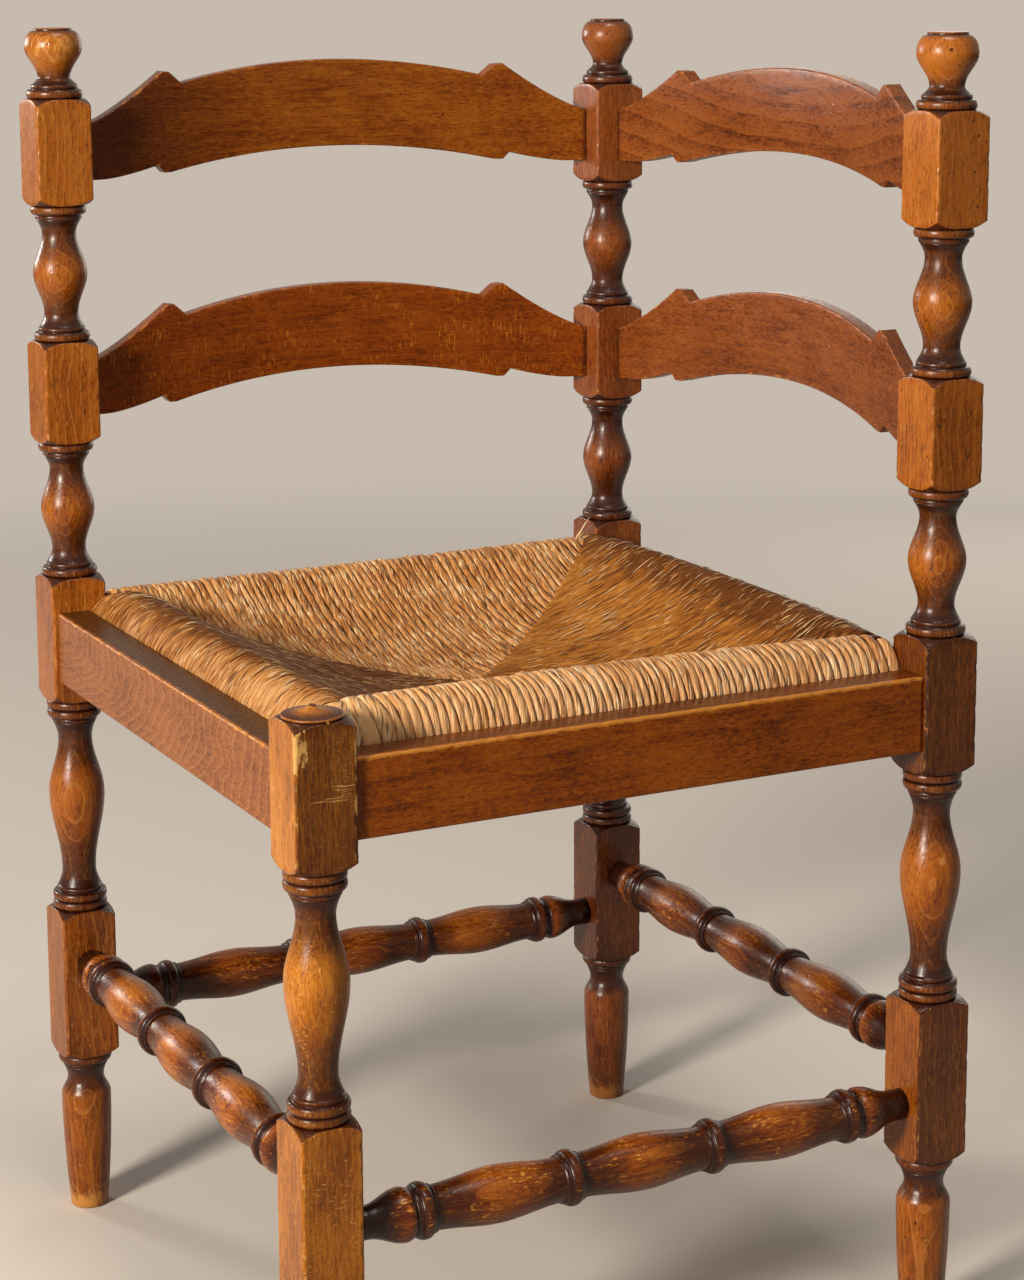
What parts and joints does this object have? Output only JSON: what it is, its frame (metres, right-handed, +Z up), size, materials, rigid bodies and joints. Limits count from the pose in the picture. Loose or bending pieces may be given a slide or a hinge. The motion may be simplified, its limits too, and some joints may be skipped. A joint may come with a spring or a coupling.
{
  "type": "corner chair",
  "caption": "Square corner chair of turned beech with bowed, arched ladder rails on two sides and a drop-in rush seat.",
  "frame": {"origin": "centre of the chair's overall plan, on the floor", "axes": "+Z up; the two low sides face -X and -Y, and the two ladder backs stand on the +X and +Y sides"},
  "size_m": [0.459, 0.459, 0.8025],
  "materials": {
    "post_wood": "stained and waxed beech, satin, worn pale on the arrises",
    "ladder_wood": "stained and waxed beech, satin",
    "seat_rail_wood": "stained and waxed beech, satin, rubbed bright on the top edge",
    "stretcher_wood": "stained and waxed beech, satin",
    "raw_wood": "unfinished beech, matt",
    "screw_steel": "plain steel, dull",
    "rush": "twisted rush cord, dry and lightly glossy"
  },
  "bodies": {
    "frame": {"front_post": "post_wood", "left_post": "post_wood", "right_post": "post_wood", "back_post": "post_wood", "upper_ladder_rail_left": "ladder_wood", "upper_ladder_rail_right": "ladder_wood", "lower_ladder_rail_left": "ladder_wood", "lower_ladder_rail_right": "ladder_wood", "seat_rail_front_left": "seat_rail_wood", "seat_rail_front_right": "seat_rail_wood", "seat_rail_back_left": "seat_rail_wood", "seat_rail_back_right": "seat_rail_wood", "stretcher_front_left": "stretcher_wood", "stretcher_front_right": "stretcher_wood", "stretcher_back_left": "stretcher_wood", "stretcher_back_right": "stretcher_wood", "corner_block_front": "raw_wood", "corner_block_left": "raw_wood", "corner_block_right": "raw_wood", "corner_block_back": "raw_wood", "corner_block_screws": "screw_steel"},
    "seat": {"seat_frame_rail_front_left": "raw_wood", "seat_frame_rail_front_right": "raw_wood", "seat_frame_rail_back_left": "raw_wood", "seat_frame_rail_back_right": "raw_wood", "rush_seat": "rush"}
  },
  "joints": [
    {"name": "seat_lift", "type": "slide", "parent": "frame", "child": "seat", "axis": [0, 0, 1], "range_m": [0, 0.06]}
  ]
}
